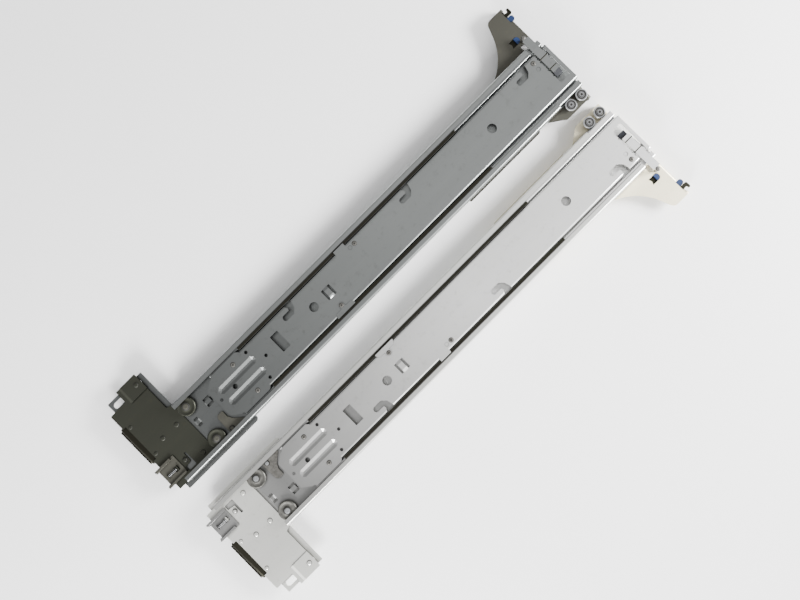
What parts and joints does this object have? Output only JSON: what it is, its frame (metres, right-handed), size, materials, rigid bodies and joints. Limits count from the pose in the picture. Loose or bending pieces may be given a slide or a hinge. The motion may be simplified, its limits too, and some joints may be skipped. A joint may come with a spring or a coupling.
{
  "type": "sliding server rail pair",
  "caption": "Left and right three-member slide rails that carry a server in a rack, with hooked server slots, rear rollers, front bearings and release latches",
  "frame": {"origin": "centre of the bounding box in X and Y, on the plane that the mounting flanges stand on", "axes": "+X to the front of the rack along the rails, +Y to the right-hand rail's outer side, +Z from the rack side to the server side"},
  "size_m": [0.785, 0.362, 0.0438],
  "materials": {
    "zinc_right": "zinc-plated cold-rolled steel, satin, a little darker with wear",
    "zinc_left": "zinc-plated cold-rolled steel, satin, bright",
    "chromate_right": "zinc plate with faint yellow chromate",
    "chromate_left": "zinc plate with faint yellow chromate",
    "white_steel": "bright zinc plate",
    "bracket_right": "zinc plate, dulled",
    "bracket_left": "zinc plate, satin",
    "dark_steel": "oiled dark steel",
    "rivet_steel": "rivet steel with a warm tinge",
    "roller_steel": "sintered steel, brown-grey",
    "bearing_steel": "polished bearing steel",
    "spring_steel": "bright wire",
    "blue_plastic": "moulded release blue"
  },
  "bodies": {
    "rack_side": {"right_outer_channel": "zinc_right", "right_front_bracket": "chromate_right", "right_rear_base_plate": "white_steel", "right_release_spring": "spring_steel", "left_outer_channel": "zinc_left", "left_front_bracket": "chromate_left", "left_rear_base_plate": "white_steel", "left_release_spring": "spring_steel", "channel_rivets": "rivet_steel", "bearing_studs": "spring_steel"},
    "right_middle": {"right_middle_member": "zinc_right", "right_middle_pins": "rivet_steel"},
    "right_inner": {"right_inner_member": "zinc_right", "right_inner_rivets": "rivet_steel", "right_edge_clip": "zinc_right", "right_lever_pivot": "spring_steel", "right_lever_spring": "spring_steel"},
    "right_cage": {"right_ball_retainers": "zinc_right", "right_race_balls": "bearing_steel"},
    "right_roller_upper": {"right_rear_roller_upper": "roller_steel"},
    "right_roller_lower": {"right_rear_roller_lower": "roller_steel"},
    "right_pawl": {"right_detent_pawl": "dark_steel"},
    "right_lever": {"right_latch_lever": "zinc_right", "right_lever_pad": "blue_plastic", "right_lock_pin": "rivet_steel"},
    "right_release": {"right_release_slide": "dark_steel", "right_release_tab": "blue_plastic"},
    "right_bearing_rear": {"right_bearing_ring_rear": "bearing_steel"},
    "right_bearing_front": {"right_bearing_ring_front": "bearing_steel"},
    "right_bracket": {"right_rear_bracket": "bracket_right", "right_rear_mount_angle": "dark_steel", "right_rear_fasteners": "rivet_steel", "right_rear_latch_spring": "spring_steel"},
    "right_latch": {"right_rear_latch": "zinc_right"},
    "left_middle": {"left_middle_member": "zinc_left", "left_middle_pins": "rivet_steel"},
    "left_inner": {"left_inner_member": "zinc_left", "left_inner_rivets": "rivet_steel", "left_edge_clip": "zinc_left", "left_lever_pivot": "spring_steel", "left_lever_spring": "spring_steel"},
    "left_cage": {"left_ball_retainers": "zinc_left", "left_race_balls": "bearing_steel"},
    "left_roller_upper": {"left_rear_roller_upper": "roller_steel"},
    "left_roller_lower": {"left_rear_roller_lower": "roller_steel"},
    "left_pawl": {"left_detent_pawl": "dark_steel"},
    "left_lever": {"left_latch_lever": "zinc_left", "left_lever_pad": "blue_plastic", "left_lock_pin": "rivet_steel"},
    "left_release": {"left_release_slide": "dark_steel", "left_release_tab": "blue_plastic"},
    "left_bearing_rear": {"left_bearing_ring_rear": "bearing_steel"},
    "left_bearing_front": {"left_bearing_ring_front": "bearing_steel"},
    "left_bracket": {"left_rear_bracket": "bracket_left", "left_rear_mount_angle": "dark_steel", "left_rear_fasteners": "rivet_steel", "left_rear_latch_spring": "spring_steel"},
    "left_latch": {"left_rear_latch": "zinc_left"}
  },
  "joints": [
    {"name": "right_middle_slide", "type": "slide", "parent": "rack_side", "child": "right_middle", "axis": [1, 0, 0], "range_m": [0, 0.32]},
    {"name": "right_inner_slide", "type": "slide", "parent": "right_middle", "child": "right_inner", "axis": [1, 0, 0], "range_m": [0, 0.32]},
    {"name": "right_cage_slide", "type": "slide", "parent": "right_middle", "child": "right_cage", "axis": [1, 0, 0], "range_m": [0, 0.16]},
    {"name": "right_roller_upper_spin", "type": "hinge", "parent": "right_middle", "child": "right_roller_upper", "pos_m": [-0.298, 0.0981, 0.0324], "axis": [0, 0, 1], "continuous": true},
    {"name": "right_roller_lower_spin", "type": "hinge", "parent": "right_middle", "child": "right_roller_lower", "pos_m": [-0.298, 0.0379, 0.0324], "axis": [0, 0, 1], "continuous": true},
    {"name": "right_pawl_pivot", "type": "hinge", "parent": "right_middle", "child": "right_pawl", "pos_m": [-0.2743, 0.0334, 0.0292], "axis": [0, 0, 1], "range_deg": [0, 12], "stiffness_Nm_per_rad": 0.05, "springref_deg": -5.73},
    {"name": "right_lever_pivot", "type": "hinge", "parent": "right_inner", "child": "right_lever", "pos_m": [0.3752, 0.0879, 0.0372], "axis": [1, 0, 0], "range_deg": [0, 10], "stiffness_Nm_per_rad": 0.3, "springref_deg": -8.59},
    {"name": "right_release_slide", "type": "slide", "parent": "rack_side", "child": "right_release", "axis": [-1, 0, 0], "range_m": [0, 0.006], "stiffness_N_per_m": 400, "springref_m": -0.004, "deforming": ["right_release_spring"]},
    {"name": "right_bearing_rear_spin", "type": "hinge", "parent": "rack_side", "child": "right_bearing_rear", "pos_m": [0.3552, 0.0169, 0.0335], "axis": [0, 0, 1], "continuous": true},
    {"name": "right_bearing_front_spin", "type": "hinge", "parent": "rack_side", "child": "right_bearing_front", "pos_m": [0.3746, 0.0169, 0.0335], "axis": [0, 0, 1], "continuous": true},
    {"name": "right_rear_bracket_slide", "type": "slide", "parent": "rack_side", "child": "right_bracket", "axis": [-1, 0, 0], "range_m": [0, 0.038]},
    {"name": "right_rear_latch_slide", "type": "slide", "parent": "right_bracket", "child": "right_latch", "axis": [1, 0, 0], "range_m": [0, 0.004], "stiffness_N_per_m": 500, "springref_m": -0.003, "deforming": ["right_rear_latch_spring"]},
    {"name": "left_middle_slide", "type": "slide", "parent": "rack_side", "child": "left_middle", "axis": [1, 0, 0], "range_m": [0, 0.32]},
    {"name": "left_inner_slide", "type": "slide", "parent": "left_middle", "child": "left_inner", "axis": [1, 0, 0], "range_m": [0, 0.32]},
    {"name": "left_cage_slide", "type": "slide", "parent": "left_middle", "child": "left_cage", "axis": [1, 0, 0], "range_m": [0, 0.16]},
    {"name": "left_roller_upper_spin", "type": "hinge", "parent": "left_middle", "child": "left_roller_upper", "pos_m": [-0.298, -0.0981, 0.0324], "axis": [0, 0, 1], "continuous": true},
    {"name": "left_roller_lower_spin", "type": "hinge", "parent": "left_middle", "child": "left_roller_lower", "pos_m": [-0.298, -0.0379, 0.0324], "axis": [0, 0, 1], "continuous": true},
    {"name": "left_pawl_pivot", "type": "hinge", "parent": "left_middle", "child": "left_pawl", "pos_m": [-0.2743, -0.0334, 0.0292], "axis": [0, 0, -1], "range_deg": [0, 12], "stiffness_Nm_per_rad": 0.05, "springref_deg": -5.73},
    {"name": "left_lever_pivot", "type": "hinge", "parent": "left_inner", "child": "left_lever", "pos_m": [0.3752, -0.0879, 0.0372], "axis": [-1, 0, 0], "range_deg": [0, 10], "stiffness_Nm_per_rad": 0.3, "springref_deg": -8.59},
    {"name": "left_release_slide", "type": "slide", "parent": "rack_side", "child": "left_release", "axis": [-1, 0, 0], "range_m": [0, 0.006], "stiffness_N_per_m": 400, "springref_m": -0.004, "deforming": ["left_release_spring"]},
    {"name": "left_bearing_rear_spin", "type": "hinge", "parent": "rack_side", "child": "left_bearing_rear", "pos_m": [0.3552, -0.0169, 0.0335], "axis": [0, 0, 1], "continuous": true},
    {"name": "left_bearing_front_spin", "type": "hinge", "parent": "rack_side", "child": "left_bearing_front", "pos_m": [0.3746, -0.0169, 0.0335], "axis": [0, 0, 1], "continuous": true},
    {"name": "left_rear_bracket_slide", "type": "slide", "parent": "rack_side", "child": "left_bracket", "axis": [-1, 0, 0], "range_m": [0, 0.038]},
    {"name": "left_rear_latch_slide", "type": "slide", "parent": "left_bracket", "child": "left_latch", "axis": [1, 0, 0], "range_m": [0, 0.004], "stiffness_N_per_m": 500, "springref_m": -0.003, "deforming": ["left_rear_latch_spring"]}
  ],
  "couplings": [
    {"joint": "right_cage_slide", "follows": "right_inner_slide", "ratio": 0.5},
    {"joint": "left_cage_slide", "follows": "left_inner_slide", "ratio": 0.5}
  ]
}
